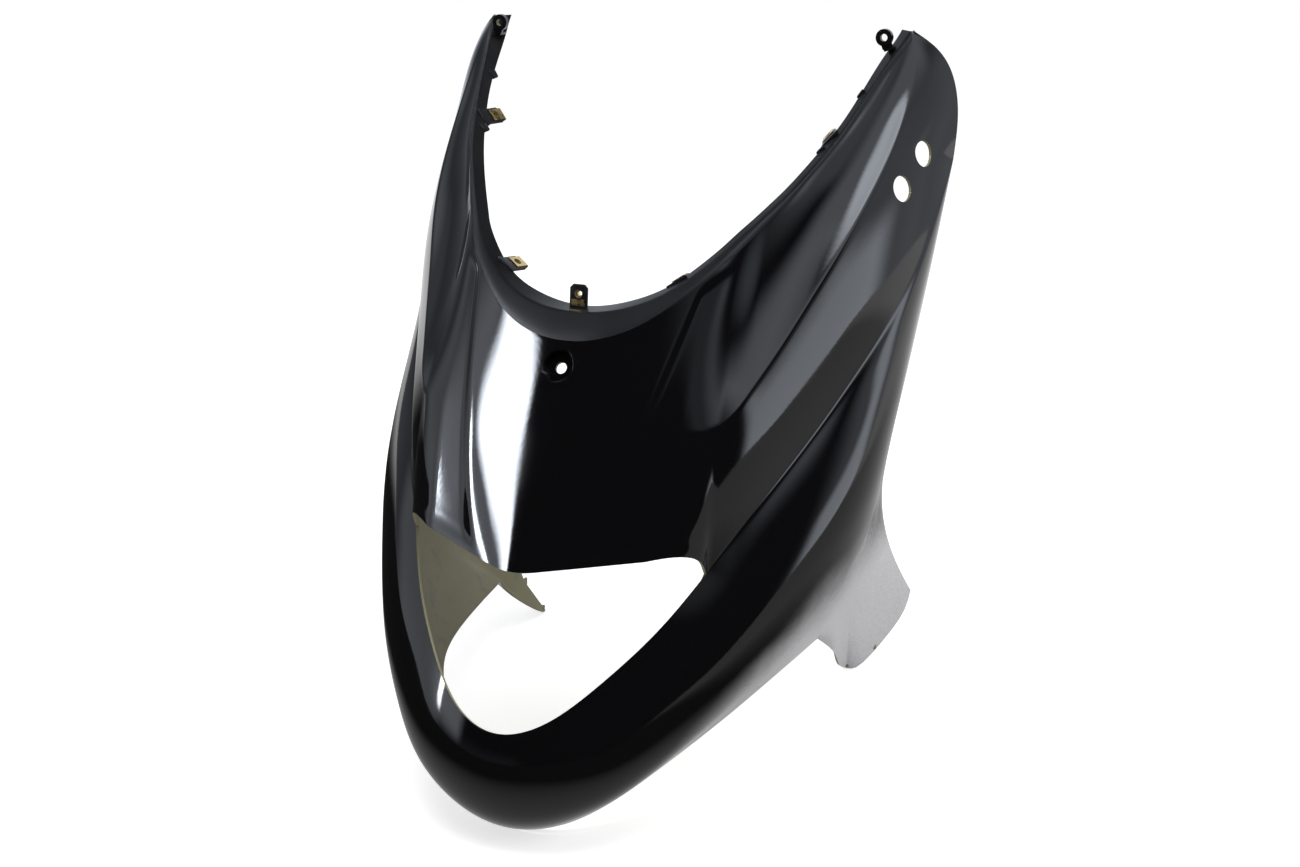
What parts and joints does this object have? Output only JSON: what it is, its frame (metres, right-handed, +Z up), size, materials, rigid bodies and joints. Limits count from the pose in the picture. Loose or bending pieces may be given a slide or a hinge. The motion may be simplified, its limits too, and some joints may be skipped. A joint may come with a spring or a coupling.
{
  "type": "scooter leg shield",
  "caption": "Moulded scooter front leg shield with a handlebar cut-out, a headlamp opening, screw ears, tabs with spring clip nuts and two rear feet.",
  "frame": {"origin": "middle of the bounding box, at the height of the surface the panel stands on", "axes": "+Z up, -Y towards the front of the scooter, +X towards the rider's right"},
  "size_m": [0.5046, 0.4664, 0.6435],
  "materials": {
    "black_plastic": "gloss paint outside, bare moulding inside",
    "zinc_plate": "yellow zinc plate"
  },
  "bodies": {
    "root": {"front_panel": "black_plastic", "clip_nut_centre": "zinc_plate", "clip_nut_low_left": "zinc_plate", "clip_nut_low_right": "zinc_plate", "clip_nut_high_left": "zinc_plate", "clip_nut_high_right": "zinc_plate"}
  },
  "joints": []
}
